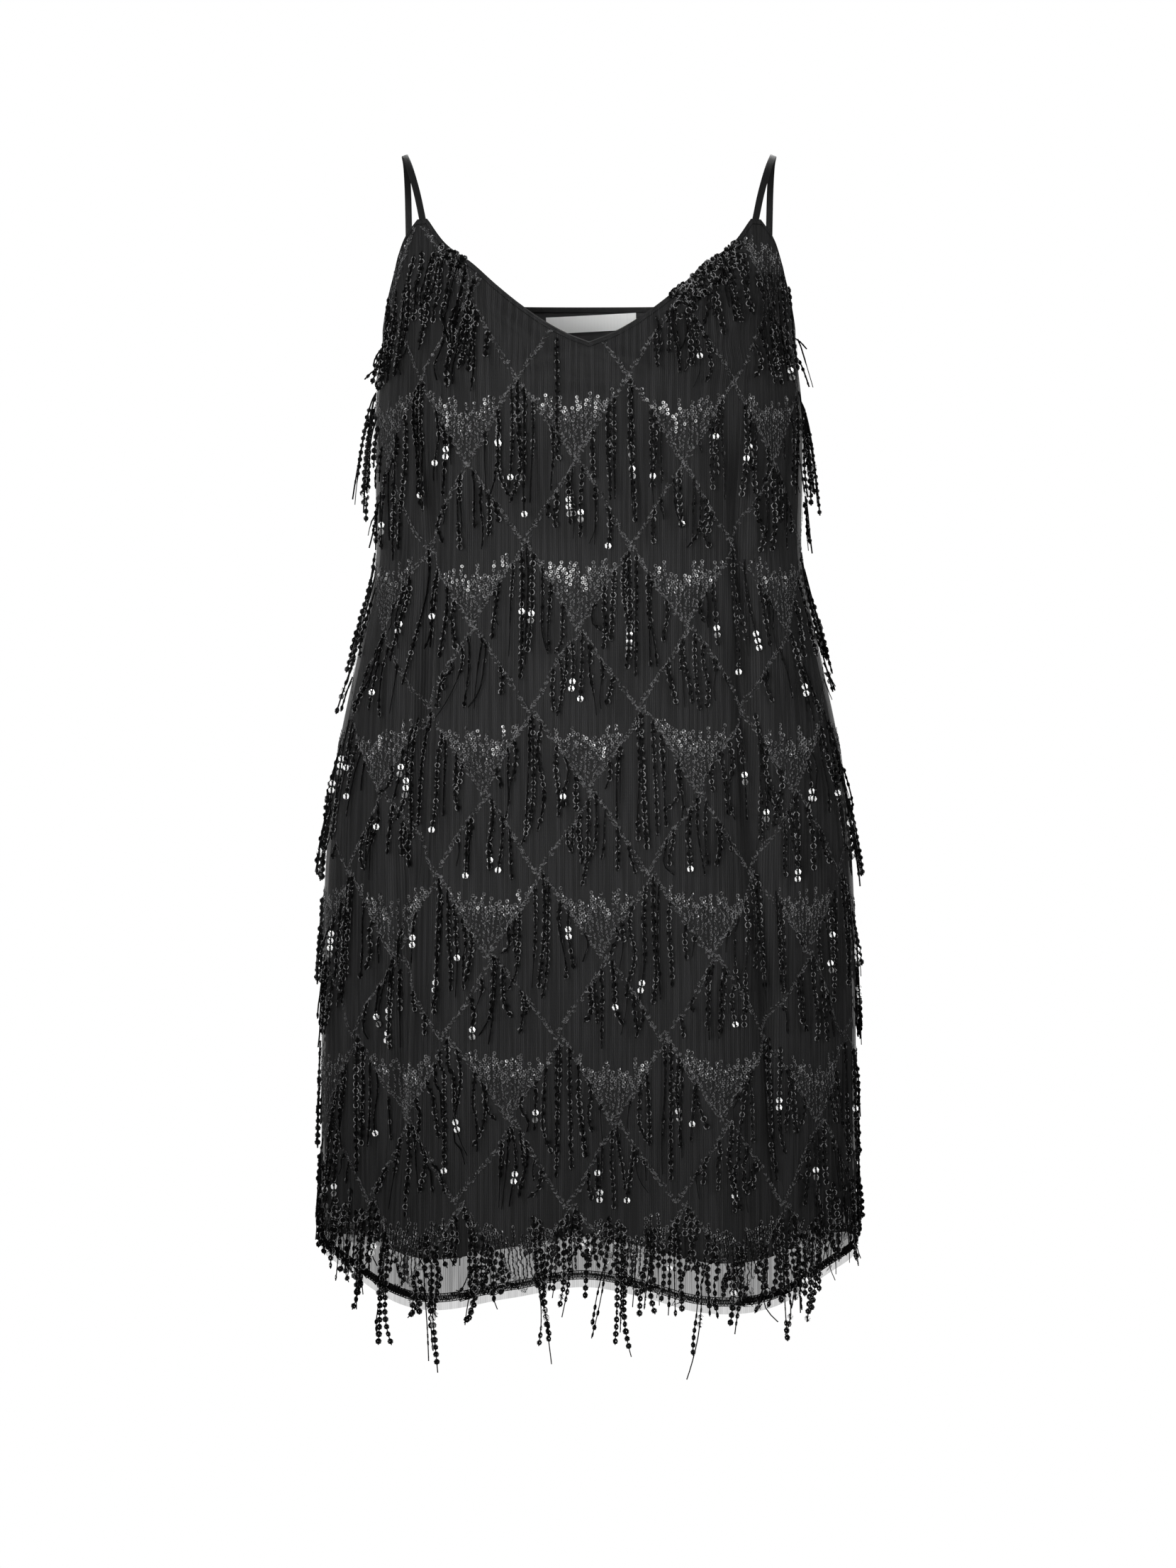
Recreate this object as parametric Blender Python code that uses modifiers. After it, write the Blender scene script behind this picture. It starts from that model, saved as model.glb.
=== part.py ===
# Slip dress: a sheer overlay hung with rows of fringe, over a shorter opaque lining, on two thin straps.
# It keeps the hollow form that it has when worn. The front faces -Y, and the origin is midway between
# the tops of the straps. Heights are given as drops below that point, in metres.
import math
import random
from collections import namedtuple

import bmesh
import bpy
import numpy as np
from mathutils import Vector

FRONT, BACK = -1, 1

# Driving sizes of the cloth.
WALL = 0.0010
LAYER_GAP = 0.0005
SEAM_GAP = 0.0004
ROUNDNESS = 0.83
NECK_COLUMNS = 7
ARM_COLUMNS = 6
LINING_RISE = 0.037

# Cross-sections of the dress, from the shoulders to the hem.
Section = namedtuple("Section", "drop half_width front_depth back_depth")
SECTIONS = (
    Section(0.057, 0.1600, 0.098, 0.082),
    Section(0.100, 0.1580, 0.112, 0.094),
    Section(0.142, 0.1570, 0.122, 0.097),
    Section(0.195, 0.1620, 0.128, 0.093),
    Section(0.250, 0.1620, 0.119, 0.084),
    Section(0.310, 0.1620, 0.109, 0.078),
    Section(0.377, 0.1750, 0.112, 0.091),
    Section(0.450, 0.1900, 0.119, 0.109),
    Section(0.520, 0.1985, 0.123, 0.120),
    Section(0.640, 0.2020, 0.124, 0.118),
    Section(0.740, 0.2020, 0.124, 0.114),
    Section(0.870, 0.2010, 0.127, 0.116),
)

# Upper edges on one side of the centre line: the V neck and the front armhole, then the straight back
# edge and the back armhole. The strap lands on the flat stretch between each pair.
Edge = namedtuple("Edge", "x drop")
FRONT_NECK = (
    Edge(0.000, 0.154),
    Edge(0.019, 0.146),
    Edge(0.033, 0.138),
    Edge(0.050, 0.126),
    Edge(0.068, 0.111),
    Edge(0.086, 0.094),
    Edge(0.110, 0.074),
    Edge(0.1215, 0.057),
)
FRONT_ARM = (
    Edge(0.1285, 0.057),
    Edge(0.1395, 0.073),
    Edge(0.1465, 0.096),
    Edge(0.1530, 0.119),
    Edge(0.1570, 0.142),
)
BACK_NECK = (Edge(0.000, 0.106), Edge(0.070, 0.106), Edge(0.1365, 0.106))
BACK_ARM = (Edge(0.1435, 0.106), Edge(0.1480, 0.118), Edge(0.1530, 0.131), Edge(0.1570, 0.142))

# Raw edge of the overlay's hem, by distance round the cloth from the centre line.
Hem = namedtuple("Hem", "arc drop")
FRONT_HEM = (
    Hem(-0.276, 0.823),
    Hem(-0.218, 0.834),
    Hem(-0.165, 0.857),
    Hem(-0.122, 0.865),
    Hem(-0.060, 0.856),
    Hem(0.000, 0.848),
    Hem(0.040, 0.855),
    Hem(0.082, 0.866),
    Hem(0.122, 0.867),
    Hem(0.160, 0.860),
    Hem(0.205, 0.840),
    Hem(0.276, 0.823),
)
BACK_HEM = (
    Hem(-0.276, 0.823),
    Hem(-0.190, 0.836),
    Hem(-0.110, 0.847),
    Hem(0.000, 0.834),
    Hem(0.095, 0.847),
    Hem(0.195, 0.834),
    Hem(0.276, 0.823),
)

# Soft folds. Each rises from nothing at its top drop to its full height at the hem.
Fold = namedtuple("Fold", "top arc_top arc_hem height width")
FRONT_FOLDS = (
    Fold(0.400, -0.104, -0.118, 0.0085, 0.036),
    Fold(0.230, -0.140, -0.172, -0.0040, 0.030),
    Fold(0.420, 0.098, 0.106, 0.0085, 0.038),
    Fold(0.230, 0.138, 0.166, -0.0040, 0.030),
    Fold(0.480, 0.000, -0.004, -0.0045, 0.050),
    Fold(0.450, -0.215, -0.222, 0.0050, 0.030),
    Fold(0.450, 0.212, 0.220, 0.0045, 0.030),
)
BACK_FOLDS = (
    Fold(0.380, -0.095, -0.110, 0.0085, 0.038),
    Fold(0.240, -0.030, -0.040, -0.0040, 0.034),
    Fold(0.240, 0.034, 0.030, -0.0035, 0.034),
    Fold(0.400, 0.090, 0.100, 0.0090, 0.038),
    Fold(0.450, -0.190, -0.200, 0.0050, 0.034),
    Fold(0.460, 0.185, 0.196, 0.0050, 0.034),
)
LEVEL_ROWS = (0.180, 0.215, 0.255, 0.305, 0.360, 0.420, 0.480, 0.550, 0.630, 0.720)

# The overlay's diamond lattice, whose legs carry the fringe.
DIAMOND_WIDTH = 0.080
LEG_DROP = 0.06085
FIRST_NODE = Edge(-0.0516, 0.1792)
LATTICE_DRIFT = 0.0386
DRIFT_POWER = 1.6
DRIFT_ROWS = 10
LAST_ROW = 10
ROW_CLEARANCE = 0.0034
EDGE_MARGIN = 0.006

# The strips along those legs, and the locks of fringe below them.
RIBBON = 0.005
RIBBON_THICK = 0.0010
RIBBON_OUT = 0.0016
FOLD_CLEARANCE = 0.0005
LOCK_FLARE = 0.009
LOCK_HALF_WIDTHS = (0.0045, 0.0022)
LONG_REACH = 0.092
SHORT_REACH = 0.066
HEM_REACH = 0.113
REACH_VARIES = 0.008

# Straps, neck binding and label.
STRAP_WIDTH = 0.005
STRAP_THICK = 0.0012
STRAP_TOP_X = 0.1403
STRAP_SLOPE = math.radians(20)
BINDING_HEIGHT = 0.0032
TRIM_THICK = 0.0008
LABEL_WIDTH = 0.071
LABEL_HEIGHT = 0.0128
LABEL_TOP = Edge(0.0015, 0.1116)
LABEL_TILT = math.radians(3)

COLOURS = {
    "mesh": ((0.012, 0.012, 0.013), 0.85),
    "lining": ((0.022, 0.022, 0.023), 0.55),
    "fringe": ((0.006, 0.006, 0.007), 0.35),
    "strap": ((0.010, 0.010, 0.011), 0.50),
    "label": ((0.720, 0.720, 0.710), 0.70),
}


def column_of(table, name):
    return np.array([getattr(row, name) for row in table])


def smooth(places, values, place):
    """A curve without kinks through a table's rows, read at one place and level beyond its ends."""
    slopes = np.gradient(values, places)
    i = int(np.clip(np.searchsorted(places, place) - 1, 0, len(places) - 2))
    step = places[i + 1] - places[i]
    t = min(max((place - places[i]) / step, 0.0), 1.0)
    start = (1 + 2 * t) * (1 - t) ** 2 * values[i] + t * (1 - t) ** 2 * step * slopes[i]
    return start + t * t * (3 - 2 * t) * values[i + 1] - t * t * (1 - t) * step * slopes[i + 1]


def half_section(face, drop):
    """Distance round the cloth, x and depth, from the centre line to the side seam at this drop."""
    drops = column_of(SECTIONS, "drop")
    width = smooth(drops, column_of(SECTIONS, "half_width"), drop)
    depth_name = "front_depth" if face == FRONT else "back_depth"
    depth = smooth(drops, column_of(SECTIONS, depth_name), drop)
    angle = np.linspace(math.pi / 2, 0, 61)
    x = width * np.cos(angle).clip(0) ** ROUNDNESS
    y = depth * np.sin(angle).clip(0) ** ROUNDNESS
    arc = np.concatenate([[0], np.cumsum(np.hypot(np.diff(x), np.diff(y)))])
    return arc, x, y


def fold_height(face, arc, drop):
    total = 0.0
    for fold in FRONT_FOLDS if face == FRONT else BACK_FOLDS:
        share = min(max((drop - fold.top) / (SECTIONS[-1].drop - fold.top), 0.0), 1.0)
        centre = fold.arc_top + (fold.arc_hem - fold.arc_top) * share
        rise = share * share * (3 - 2 * share)
        total += fold.height * rise * math.exp(-(((arc - centre) / fold.width) ** 2))
    return total


def cloth_point(face, fraction, drop):
    """The outer surface at this fraction of the way from the centre line (0) to a seam (-1 or 1)."""
    arcs, xs, ys = half_section(face, drop)
    arc = abs(fraction) * arcs[-1]
    side = math.copysign(1, fraction)
    x = float(np.interp(arc, arcs, xs))
    y = float(np.interp(arc, arcs, ys))
    i = int(np.clip(np.searchsorted(arcs, arc), 2, len(arcs) - 2))
    along = Vector((xs[i + 1] - xs[i - 2], ys[i + 1] - ys[i - 2])).normalized()
    out = fold_height(face, fraction * arcs[-1], drop)
    x, y = x - along.y * out, y + along.x * out
    return Vector((side * x, face * (y + SEAM_GAP / 2), -drop))


def fraction_of(face, edge):
    arcs, xs, _ = half_section(face, edge.drop)
    return float(np.interp(edge.x, xs, arcs)) / arcs[-1]


def edge_drop(face, fraction):
    """Drop of the upper edge at this fraction: neck, then the strap's flat, then armhole."""
    neck, arm = (FRONT_NECK, FRONT_ARM) if face == FRONT else (BACK_NECK, BACK_ARM)
    for edge in (neck, arm):
        fractions = np.array([fraction_of(face, row) for row in edge])
        if abs(fraction) <= fractions[-1]:
            return float(smooth(fractions, column_of(edge, "drop"), abs(fraction)))
    return arm[-1].drop


def hem_drop(face, fraction):
    hem = FRONT_HEM if face == FRONT else BACK_HEM
    return float(smooth(column_of(hem, "arc"), column_of(hem, "drop"), fraction * hem[-1].arc))


def column_fractions(face):
    neck, arm = (FRONT_NECK, FRONT_ARM) if face == FRONT else (BACK_NECK, BACK_ARM)
    inner = np.linspace(0, fraction_of(face, neck[-1]), NECK_COLUMNS + 1)
    outer = np.linspace(fraction_of(face, arm[0]), 1, ARM_COLUMNS + 1)
    half = np.concatenate([inner, outer])
    return np.concatenate([-half[:0:-1], half])


def panel_grid(face):
    """The overlay's outer points, row by row from the upper edge to the hem."""
    rows = []
    for fraction in column_fractions(face):
        top = edge_drop(face, fraction)
        hem = hem_drop(face, fraction)
        drops = (top, (top + LEVEL_ROWS[0]) / 2, *LEVEL_ROWS, hem - LINING_RISE, hem)
        rows.append([cloth_point(face, fraction, drop) for drop in drops])
    return np.array(rows).transpose(1, 0, 2)


class Panel:
    """One side of the overlay, read anywhere on its facets."""

    def __init__(self, face):
        self.face = face
        self.fractions = column_fractions(face)
        self.grid = panel_grid(face)

    def on_wall(self, fraction, drop, out):
        """The point on the wall's facets at this fraction and drop, moved out along their normal."""
        column = float(np.interp(fraction, self.fractions, np.arange(len(self.fractions))))
        j = min(int(column), len(self.fractions) - 2)
        left, right = self.grid[:, j], self.grid[:, j + 1]
        line = left + (right - left) * (column - j)
        i = int(np.clip(np.searchsorted(-line[:, 2], drop) - 1, 0, len(line) - 2))
        share = (-drop - line[i, 2]) / (line[i + 1, 2] - line[i, 2])
        point = line[i] + (line[i + 1] - line[i]) * share
        normal = np.cross(right[i] - left[i], line[i + 1] - line[i])
        return Vector(point + normal / np.linalg.norm(normal) * self.face * out)

    def hang(self, x, y, drop, out):
        """Straight below a root at x, y, or on the wall where the cloth stands out that far."""
        arcs, xs, ys = half_section(self.face, drop)
        towards = float(np.interp(math.atan2(abs(x), abs(y)), np.arctan2(xs, ys), arcs / arcs[-1]))
        wall = self.on_wall(math.copysign(towards, x), drop, out)
        if math.hypot(x, y) > math.hypot(wall.x, wall.y):
            return Vector((x, y, -drop))
        return wall


def finish(name, mesh, colour, thickness, side):
    """The object of this sheet, facing out, with its thickness outside (1), inside (-1) or both (0)."""
    bmesh.ops.recalc_face_normals(mesh, faces=mesh.faces)
    mesh.normal_update()
    facing = sum(face.normal.xy.dot(face.calc_center_median().xy) for face in mesh.faces)
    if facing < 0:
        bmesh.ops.reverse_faces(mesh, faces=mesh.faces)
    data = bpy.data.meshes.new(name)
    mesh.to_mesh(data)
    mesh.free()
    data.shade_smooth()
    obj = bpy.data.objects.new(name, data)
    bpy.data.collections["slip_dress"].objects.link(obj)
    shell = obj.modifiers.new("thickness", "SOLIDIFY")
    shell.thickness = thickness
    shell.offset = side
    shell.use_even_offset = True
    rgb, roughness = COLOURS[colour]
    material = bpy.data.materials.new(name)
    material.use_nodes = True
    shader = material.node_tree.nodes["Principled BSDF"]
    shader.inputs["Base Color"].default_value = (*rgb, 1)
    shader.inputs["Roughness"].default_value = roughness
    shader.inputs["Metallic"].default_value = 0
    data.materials.append(material)
    return obj


def lay_grid(columns, rows, place):
    """A grid whose corners lie at place(column, row), with its vertices by column and row."""
    mesh = bmesh.new()
    bmesh.ops.create_grid(mesh, x_segments=columns, y_segments=rows, size=1)
    found = {}
    for vert in mesh.verts:
        column = round((vert.co.x + 1) / 2 * columns)
        row = round((1 - vert.co.y) / 2 * rows)
        found[column, row] = vert
    for (column, row), vert in found.items():
        vert.co = place(column, row)
    return mesh, found


def make_outer(panel, name):
    rows, columns = panel.grid.shape[0] - 1, panel.grid.shape[1] - 1
    mesh, _ = lay_grid(columns, rows, lambda column, row: Vector(panel.grid[row, column]))
    finish(name, mesh, "mesh", WALL, -1)


def make_lining(panel, name):
    """The lining's points are the overlay's, moved in, without the last row."""
    rows, columns = panel.grid.shape[0] - 2, panel.grid.shape[1] - 1
    mesh, _ = lay_grid(columns, rows, lambda column, row: moved_in(panel, column, row))
    finish(name, mesh, "lining", WALL, -1)


def moved_in(panel, column, row):
    """A grid point of the panel moved in, level with itself, by the overlay's thickness and the gap."""
    line = panel.grid[row]
    point = Vector(line[column])
    if column in (0, len(line) - 1):
        inside = Vector((-math.copysign(1, point.x), 0, 0))
    else:
        along = Vector(line[column + 1] - line[column - 1]).xy.normalized()
        inside = Vector((along.y, -along.x, 0)) * panel.face
    return point + inside * (WALL + LAYER_GAP)


def lattice_shift(drop):
    """How far the lattice has drifted to the right at this drop."""
    row = (drop - FIRST_NODE.drop) / LEG_DROP
    return LATTICE_DRIFT * (max(row, 0) / DRIFT_ROWS) ** DRIFT_POWER


def leg_stations(row, limit):
    """Distances round the cloth of a row's apexes, feet and the points between, from seam to seam."""
    top = FIRST_NODE.drop + row * LEG_DROP
    first = FIRST_NODE.x + lattice_shift(top + LEG_DROP / 2) + (row % 2) * DIAMOND_WIDTH / 2
    first -= math.floor((first + limit) / DIAMOND_WIDTH + 1) * DIAMOND_WIDTH
    quarter = DIAMOND_WIDTH / 4
    kinds = ("apex", "side", "foot", "side")
    count = math.ceil(2 * (limit + DIAMOND_WIDTH) / quarter)
    stations = [(first + quarter * i, kinds[i % 4]) for i in range(count)]
    inside = [station for station in stations if abs(station[0]) < limit - EDGE_MARGIN / 2]
    return first, [(-limit, "end"), *inside, (limit, "end")]


def leg_drop(row, first, arc):
    """Drop of a row's zigzag at this distance round the cloth."""
    phase = (arc - first) / DIAMOND_WIDTH
    away = abs(phase - round(phase)) * 2
    height = LEG_DROP - ROW_CLEARANCE - RIBBON / 2
    return FIRST_NODE.drop + row * LEG_DROP + ROW_CLEARANCE / 2 + away * height


def make_fringe_row(panel, name, row, draw):
    """A zigzag strip on the wall with flat locks of fringe below its legs, as one solid."""
    face = panel.face
    limit = half_section(face, FIRST_NODE.drop + row * LEG_DROP)[0][-1] - EDGE_MARGIN
    first, stations = leg_stations(row, limit)
    out = RIBBON_OUT + FOLD_CLEARANCE * max(row, 0) / LAST_ROW

    def fraction_at(arc, drop):
        return arc / half_section(face, drop)[0][-1]

    def station_drop(arc):
        drop = leg_drop(row, first, arc)
        fraction = fraction_at(arc, drop)
        drop = max(drop, edge_drop(face, fraction) + EDGE_MARGIN)
        return min(drop, hem_drop(face, fraction) - EDGE_MARGIN - RIBBON)

    def place(column, level):
        arc = stations[column][0]
        drop = station_drop(arc) + RIBBON * level
        return panel.on_wall(fraction_at(arc, drop), drop, out)

    mesh, found = lay_grid(len(stations) - 1, 1, place)
    locks = 0
    for column in range(len(stations) - 1):
        kinds = (stations[column][1], stations[column + 1][1])
        reach = lock_reach(row, kinds)
        if not reach:
            continue
        top = FIRST_NODE.drop + row * LEG_DROP
        end = top + reach + draw.uniform(-REACH_VARIES, REACH_VARIES)
        hang_lock(panel, mesh, (found[column, 1], found[column + 1, 1]), end, out)
        locks += 1
    finish(name, mesh, "fringe", RIBBON_THICK, 1)
    return locks


def lock_reach(row, kinds):
    """How far below its row's apexes a lock ends, or 0 where a leg carries none."""
    if "end" in kinds:
        return 0
    if row == LAST_ROW and "foot" in kinds:
        return HEM_REACH
    if "apex" not in kinds:
        return 0
    if row % 2 == 0:
        return LONG_REACH
    return SHORT_REACH if kinds[0] == "apex" else 0


def hang_lock(panel, mesh, roots, end, root_out):
    """Extrudes the strip's lower edge down to the lock's end, narrower at each ring."""
    left, right = roots
    centre = (left.co + right.co) / 2
    across = (right.co - left.co).xy.normalized()
    start = -min(left.co.z, right.co.z)
    edge = mesh.edges.get((left, right))
    for ring, half_width in enumerate(LOCK_HALF_WIDTHS, start=1):
        drop = start + (end - start) * ring / len(LOCK_HALF_WIDTHS)
        out = root_out + LOCK_FLARE * ring / len(LOCK_HALF_WIDTHS)
        made = bmesh.ops.extrude_edge_only(mesh, edges=[edge])["geom"]
        verts = [item for item in made if isinstance(item, bmesh.types.BMVert)]
        edge = mesh.edges.get(verts)
        for vert in verts:
            side = math.copysign(1, (vert.co - centre).xy.dot(across))
            spot = centre.xy + across * side * half_width
            vert.co = panel.hang(spot.x, spot.y, drop, out)


def strap_path(side, front, back):
    """Centre line of a strap from the front panel's point, over the shoulder, to the back edge."""
    heights = ((0.16, -0.038), (0.45, -0.015), (0.78, -0.0025), (1.0, 0.0))
    path = [front]
    for share, height in heights:
        x = abs(front.x) + (STRAP_TOP_X - abs(front.x)) * math.sin(share * math.pi / 2)
        path.append(Vector((side * x, front.y * (1 - share), height)))
    for share, height in ((0.30, -0.0035), (0.66, -0.019), (0.88, -0.045), (0.97, -0.075)):
        x = STRAP_TOP_X + (abs(back.x) - STRAP_TOP_X) * share
        path.append(Vector((side * x, back.y * share, height)))
    return [*path, back]


def make_strap(side, front_panel, back_panel, name):
    middle = WALL + LAYER_GAP / 2
    ends = []
    for panel, neck, arm in ((front_panel, FRONT_NECK, FRONT_ARM), (back_panel, BACK_NECK, BACK_ARM)):
        centre = Edge((neck[-1].x + arm[0].x) / 2, neck[-1].drop)
        point = panel.on_wall(side * fraction_of(panel.face, centre), centre.drop, -middle)
        ends.append(Vector((point.x, point.y, -centre.drop + SEAM_GAP)))
    path = strap_path(side, *ends)

    def place(column, edge):
        slope = STRAP_SLOPE * math.sin(math.pi * column / (len(path) - 1))
        across = Vector((side * math.cos(slope), 0, -math.sin(slope)))
        return path[column] + across * STRAP_WIDTH * (edge - 0.5)

    mesh, _ = lay_grid(len(path) - 1, 1, place)
    finish(name, mesh, "strap", STRAP_THICK, 0)


def make_binding(panel, name):
    """A narrow strip inside the back neckline."""
    limit = fraction_of(BACK, BACK_NECK[-1])
    columns = 2 * NECK_COLUMNS
    depth = -(2 * WALL + 2 * LAYER_GAP)

    def place(column, level):
        fraction = limit * (2 * column / columns - 1)
        return panel.on_wall(fraction, BACK_NECK[0].drop + BINDING_HEIGHT * level, depth)

    mesh, _ = lay_grid(columns, 1, place)
    finish(name, mesh, "lining", TRIM_THICK, -1)


def make_label(panel, name):
    """A plain woven rectangle just below the binding, tilted a little."""
    depth = -(2 * WALL + 2 * LAYER_GAP)
    full = half_section(BACK, LABEL_TOP.drop)[0][-1]

    def place(column, level):
        along = LABEL_WIDTH * (column / 4 - 0.5)
        down = LABEL_HEIGHT * level
        arc = LABEL_TOP.x + along * math.cos(LABEL_TILT) + down * math.sin(LABEL_TILT)
        drop = LABEL_TOP.drop - along * math.sin(LABEL_TILT) + down * math.cos(LABEL_TILT)
        return panel.on_wall(arc / full, drop, depth)

    mesh, _ = lay_grid(4, 1, place)
    finish(name, mesh, "label", TRIM_THICK, -1)


def main():
    for obj in list(bpy.data.objects):
        bpy.data.objects.remove(obj)
    collection = bpy.data.collections.new("slip_dress")
    bpy.context.scene.collection.children.link(collection)
    front, back = Panel(FRONT), Panel(BACK)
    make_outer(front, "outer_front")
    make_outer(back, "outer_back")
    make_lining(front, "lining_front")
    make_lining(back, "lining_back")
    make_strap(-1, front, back, "strap_left")
    make_strap(1, front, back, "strap_right")
    make_binding(back, "back_neck_binding")
    make_label(back, "neck_label")
    draw = random.Random(4)
    locks = 0
    for row in range(-1, LAST_ROW + 1):
        locks += make_fringe_row(front, f"fringe_front_{row + 2:02d}", row, draw)
        locks += make_fringe_row(back, f"fringe_back_{row + 2:02d}", row, draw)
    print(f"{locks} locks of fringe")


main()
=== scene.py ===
# Slip dress: sheer ribbed overlay with a stitched diamond lattice and sequin fringe, over a shorter lining.
import math
import random

import bpy
import numpy as np
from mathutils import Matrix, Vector


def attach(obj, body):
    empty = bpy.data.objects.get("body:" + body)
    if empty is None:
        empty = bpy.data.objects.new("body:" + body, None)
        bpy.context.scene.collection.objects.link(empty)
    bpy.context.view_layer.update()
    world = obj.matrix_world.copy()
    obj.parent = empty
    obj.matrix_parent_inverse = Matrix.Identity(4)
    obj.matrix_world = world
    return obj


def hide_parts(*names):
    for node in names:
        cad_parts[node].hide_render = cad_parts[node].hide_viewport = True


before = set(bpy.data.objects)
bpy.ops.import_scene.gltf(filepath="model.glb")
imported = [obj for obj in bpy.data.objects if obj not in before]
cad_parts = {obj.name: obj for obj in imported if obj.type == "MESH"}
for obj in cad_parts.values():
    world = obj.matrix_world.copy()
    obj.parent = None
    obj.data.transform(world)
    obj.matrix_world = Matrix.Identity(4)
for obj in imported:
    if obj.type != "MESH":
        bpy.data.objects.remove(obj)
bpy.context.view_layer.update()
front, back = -1, 1
draw = random.Random(11)

# the form the cloth keeps: drops below the shoulders, in metres
dressForm = {
    "roundness": 0.83,
    "seamGap": 0.0004,
    "drop": (0.057, 0.1, 0.142, 0.195, 0.25, 0.31, 0.377, 0.45, 0.52, 0.64, 0.74, 0.87),
    "halfWidth": (0.16, 0.158, 0.157, 0.162, 0.162, 0.162, 0.175, 0.19, 0.1985, 0.202, 0.202, 0.201),
    "creaseStart": 0.35,
    "creaseEnd": 0.3,
    "depth": {
        front: (0.098, 0.112, 0.122, 0.128, 0.119, 0.109, 0.112, 0.119, 0.123, 0.124, 0.124, 0.127),
        back: (0.082, 0.094, 0.097, 0.093, 0.084, 0.078, 0.091, 0.109, 0.12, 0.118, 0.114, 0.116),
    },
}

# upper edges as (x, drop), from the centre line to the strap and from the strap to the side seam
upperEdges = {
    front: {
        "neck": ((0, 0.154), (0.019, 0.146), (0.033, 0.138), (0.05, 0.126), (0.068, 0.111),
                 (0.086, 0.094), (0.11, 0.074), (0.1215, 0.057)),
        "arm": ((0.1285, 0.057), (0.1395, 0.073), (0.1465, 0.096), (0.153, 0.119), (0.157, 0.142)),
    },
    back: {
        "neck": ((0, 0.106), (0.07, 0.106), (0.1365, 0.106)),
        "arm": ((0.1435, 0.106), (0.148, 0.118), (0.153, 0.131), (0.157, 0.142)),
    },
}

# raw hem as (distance round the cloth from the centre line, drop)
hemLines = {
    front: ((-0.276, 0.823), (-0.218, 0.834), (-0.165, 0.857), (-0.122, 0.865), (-0.06, 0.856), (0, 0.848),
            (0.04, 0.855), (0.082, 0.866), (0.122, 0.867), (0.16, 0.86), (0.205, 0.84), (0.276, 0.823)),
    back: ((-0.276, 0.823), (-0.19, 0.836), (-0.11, 0.847), (0, 0.834), (0.095, 0.847), (0.195, 0.834),
           (0.276, 0.823)),
}

# broad folds as (top drop, arc there, arc at the hem, height, width)
broadFolds = {
    front: ((0.4, -0.104, -0.118, 0.0085, 0.036), (0.23, -0.14, -0.172, -0.004, 0.03),
            (0.42, 0.098, 0.106, 0.0085, 0.038), (0.23, 0.138, 0.166, -0.004, 0.03),
            (0.48, 0, -0.004, -0.0045, 0.05), (0.45, -0.215, -0.222, 0.005, 0.03),
            (0.45, 0.212, 0.22, 0.0045, 0.03)),
    back: ((0.38, -0.095, -0.11, 0.0085, 0.038), (0.24, -0.03, -0.04, -0.004, 0.034),
           (0.24, 0.034, 0.03, -0.0035, 0.034), (0.4, 0.09, 0.1, 0.009, 0.038),
           (0.45, -0.19, -0.2, 0.005, 0.034), (0.46, 0.185, 0.196, 0.005, 0.034)),
}

# finer creases as (top drop, end drop, arc at the top, arc at the end, height, width)
fineCreases = {
    front: (
        (0.205, 0.6, -0.124, -0.13, -0.0125, 0.0074), (0.44, 0.8, -0.136, -0.15, -0.013, 0.0084),
        (0.26, 0.62, -0.15, -0.166, 0.0034, 0.008), (0.19, 0.6, 0.116, 0.124, -0.0125, 0.0074),
        (0.42, 0.81, 0.13, 0.144, -0.013, 0.0086), (0.24, 0.6, 0.148, 0.168, 0.003, 0.008),
        (0.15, 0.33, -0.06, -0.04, -0.0014, 0.012), (0.16, 0.36, 0.066, 0.048, -0.0014, 0.012),
        (0.52, 0.85, -0.06, -0.066, -0.0024, 0.013), (0.54, 0.86, 0.05, 0.056, -0.0024, 0.012),
        (0.3, 0.47, -0.02, -0.012, 0.0014, 0.014), (0.5, 0.82, -0.2, -0.214, -0.004, 0.009),
        (0.48, 0.82, 0.196, 0.212, -0.004, 0.009), (0.56, 0.84, -0.098, -0.102, 0.0026, 0.01),
    ),
    back: (
        (0.2, 0.43, -0.07, -0.05, -0.0036, 0.01), (0.22, 0.45, 0.064, 0.052, -0.0036, 0.01),
        (0.25, 0.38, -0.01, 0.004, -0.0026, 0.009), (0.3, 0.7, -0.14, -0.156, -0.005, 0.01),
        (0.32, 0.72, 0.136, 0.15, -0.005, 0.0095), (0.48, 0.85, -0.07, -0.076, -0.0026, 0.012),
        (0.5, 0.85, 0.064, 0.07, -0.0028, 0.012), (0.48, 0.82, -0.205, -0.214, -0.0034, 0.0095),
        (0.46, 0.82, 0.2, 0.212, -0.0034, 0.0095),
    ),
}

# soft swags at the chest as (arc, drop, slant, height, width, reach)
chestSwags = {
    front: ((-0.03, 0.164, -0.25, 0.0044, 0.006, 0.03), (0.026, 0.166, 0.3, 0.004, 0.0055, 0.028),
            (-0.056, 0.139, 0.8, 0.0034, 0.006, 0.028), (0.052, 0.142, -0.78, 0.003, 0.006, 0.028),
            (-0.004, 0.182, 0.05, -0.003, 0.0065, 0.034), (-0.106, 0.17, 0.1, 0.0046, 0.01, 0.024),
            (0.106, 0.168, -0.12, 0.0046, 0.01, 0.024), (-0.112, 0.128, 0.9, 0.0034, 0.007, 0.03),
            (0.116, 0.132, -0.85, 0.0032, 0.007, 0.03)),
    back: (),
}

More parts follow.
